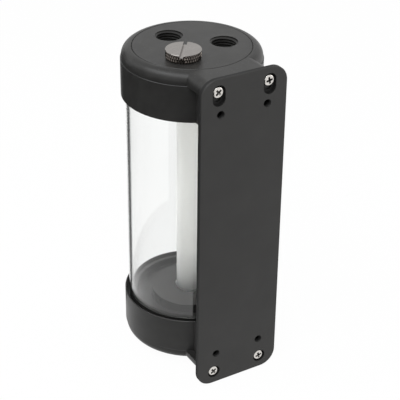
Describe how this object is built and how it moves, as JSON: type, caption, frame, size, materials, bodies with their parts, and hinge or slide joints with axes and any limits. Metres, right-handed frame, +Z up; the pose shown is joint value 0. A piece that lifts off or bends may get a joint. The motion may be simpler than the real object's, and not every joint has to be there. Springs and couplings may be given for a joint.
{
  "type": "tube reservoir",
  "caption": "Cylindrical coolant reservoir: clear tube between two plugged-in end caps, held by two mount rings on a flat back plate, with threaded ports, an inner riser and a fill plug.",
  "frame": {"origin": "centre of the inlet port's mouth, on the tube axis, in the bottom face of the lower mount ring and end cap", "axes": "+Z up along the tube axis, +Y out of the mount plate's outer face, +X across the plate"},
  "size_m": [0.0662, 0.0785, 0.1629],
  "materials": {
    "clear_acrylic": "polished, clear",
    "black_plastic": "satin, machined",
    "seal_rubber": "smooth",
    "milky_plastic": "satin, translucent white",
    "dark_plated_brass": "black nickel, bright",
    "black_paint": "fine satin black coat",
    "plated_steel": "bright nickel"
  },
  "bodies": {
    "reservoir": {"acrylic_tube": "clear_acrylic", "top_mount_ring": "black_plastic", "bottom_mount_ring": "black_plastic", "top_end_cap": "black_plastic", "bottom_end_cap": "black_plastic", "top_cap_seal": "seal_rubber", "bottom_cap_seal": "seal_rubber", "riser_tube": "milky_plastic", "mount_plate": "black_paint", "top_plate_screws": "plated_steel", "bottom_plate_screws": "plated_steel"},
    "plug_seal": {"fill_plug_seal": "seal_rubber"},
    "plug": {"fill_plug": "dark_plated_brass"}
  },
  "joints": [
    {"name": "plug_lift", "type": "slide", "parent": "reservoir", "child": "plug_seal", "axis": [0, 0, 1], "range_m": [0, 0.0095]},
    {"name": "plug_turn", "type": "hinge", "parent": "plug_seal", "child": "plug", "pos_m": [0.01075, 0.01075, 0.155], "axis": [0, 0, 1], "range_deg": [0, 2520]}
  ],
  "couplings": [
    {"joint": "plug_lift", "follows": "plug_turn", "m_per_rad": 0.00021279}
  ]
}
